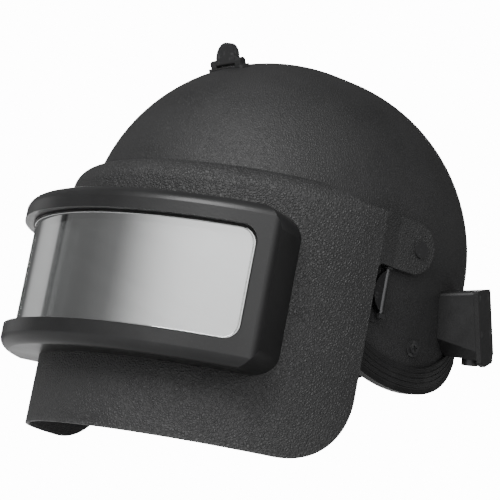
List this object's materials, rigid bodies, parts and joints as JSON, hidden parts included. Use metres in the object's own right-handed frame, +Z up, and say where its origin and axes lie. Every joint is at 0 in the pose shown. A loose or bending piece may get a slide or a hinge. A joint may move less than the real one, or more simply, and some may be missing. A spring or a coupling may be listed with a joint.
{
  "type": "ballistic helmet with armoured visor",
  "caption": "Full ballistic helmet with a hinged armoured visor and thick curved window, chin strap, padded liner, brow latch, side catch and a small rear box.",
  "frame": {"origin": "on the dome's upright axis, level with the visor's bottom edge, the middle of the head opening", "axes": "+Z up, -Y towards the wearer's front, +X towards the wearer's left"},
  "size_m": [0.2731, 0.3038, 0.2715],
  "materials": {
    "shell_coat": "matte wrinkle coat",
    "visor_coat": "matte wrinkle coat",
    "liner_aramid": "woven laminate",
    "trim_rubber": "ribbed matt",
    "pad_fabric": "soft matt cloth over foam",
    "webbing": "woven webbing",
    "cup_leather": "soft grained leather",
    "buckle_plastic": "fine texture",
    "steel": "brushed",
    "dark_steel": "blackened",
    "washer_plastic": "smooth",
    "box_plastic": "textured",
    "board": "lacquered",
    "connector": "satin plated",
    "frame_paint": "satin smooth",
    "armour_glass": "polished laminate",
    "clear_pane": "polished",
    "seal_rubber": "smooth"
  },
  "bodies": {
    "helmet": {"outer_shell": "shell_coat", "inner_liner": "liner_aramid", "edge_trim": "trim_rubber", "front_pad": "pad_fabric", "rear_pad": "pad_fabric", "side_pads": "pad_fabric", "top_pad": "pad_fabric", "strap_bolts": "dark_steel", "strap_washers": "dark_steel", "strap_nuts": "steel", "strap_left": "webbing", "strap_right": "webbing", "strap_plates": "steel", "buckle_socket": "buckle_plastic", "buckle_prong": "buckle_plastic", "chin_cup": "cup_leather", "pivot_bolts": "dark_steel", "pivot_washers": "washer_plastic", "pivot_nuts": "steel", "latch_base": "dark_steel", "latch_rivets": "steel", "latch_pin": "steel", "catch_bracket": "dark_steel", "catch_rivets": "steel", "catch_pin": "steel", "box_housing": "box_plastic", "box_cover": "box_plastic", "box_screws": "dark_steel", "box_socket": "connector", "box_board": "board", "box_bolts": "steel"},
    "visor": {"visor_plate": "visor_coat", "pivot_bushes": "visor_coat", "window_frame": "frame_paint", "window_glass": "armour_glass", "window_seal": "seal_rubber", "glass_gasket": "seal_rubber", "inner_pane": "clear_pane", "inner_bezel": "box_plastic", "frame_screws": "dark_steel", "bezel_screws": "dark_steel", "brow_strip": "seal_rubber"},
    "latch": {"latch_tab": "dark_steel"},
    "catch": {"catch_blade": "steel"}
  },
  "joints": [
    {"name": "visor_hinge", "type": "hinge", "parent": "helmet", "child": "visor", "pos_m": [0, 0.0155, 0.148], "axis": [-1, 0, 0], "range_deg": [0, 40]},
    {"name": "latch_hinge", "type": "hinge", "parent": "helmet", "child": "latch", "pos_m": [0, -0.06766, 0.25812], "axis": [1, 0, 0], "range_deg": [-55, 0]},
    {"name": "catch_hinge", "type": "hinge", "parent": "helmet", "child": "catch", "pos_m": [0.1274, -0.0075, 0.1155], "axis": [0, 0, 1], "range_deg": [0, 40]}
  ]
}
